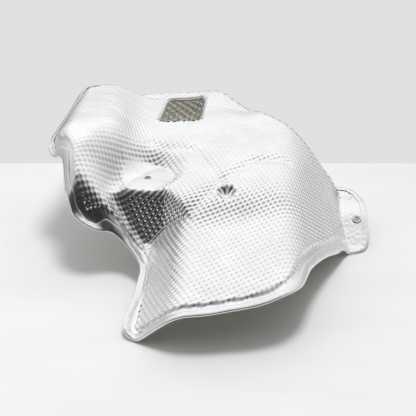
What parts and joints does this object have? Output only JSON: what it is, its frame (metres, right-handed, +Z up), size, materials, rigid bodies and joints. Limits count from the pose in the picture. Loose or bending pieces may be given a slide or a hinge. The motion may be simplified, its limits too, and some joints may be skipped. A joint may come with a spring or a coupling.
{
  "type": "exhaust manifold heat shield",
  "caption": "Heat shield of embossed aluminium with a folded hem, a bolt pad, an end tab and a window; it bolts over an exhaust manifold and keeps its heat off nearby parts.",
  "frame": {"origin": "under the middle of the shield, on the surface it stands on when it lies on its front foot, its tab and the edge of its back wall", "axes": "+X towards the bolt tab, +Y from the front foot to the back wall, +Z up, out of the outer face"},
  "size_m": [0.339, 0.3776, 0.1292],
  "materials": {
    "embossed_aluminium": "bright mill finish, pressed all over with small round bumps in a square pattern",
    "insulation": "needled mineral fibre mat",
    "inner_aluminium": "bright mill finish, smooth and slightly creased where it is folded into the hem",
    "eyelet": "rolled, bright"
  },
  "bodies": {
    "root": {"outer_skin": "embossed_aluminium", "insulation_mat": "insulation", "inner_skin": "inner_aluminium", "tab_eyelet": "eyelet"}
  },
  "joints": []
}
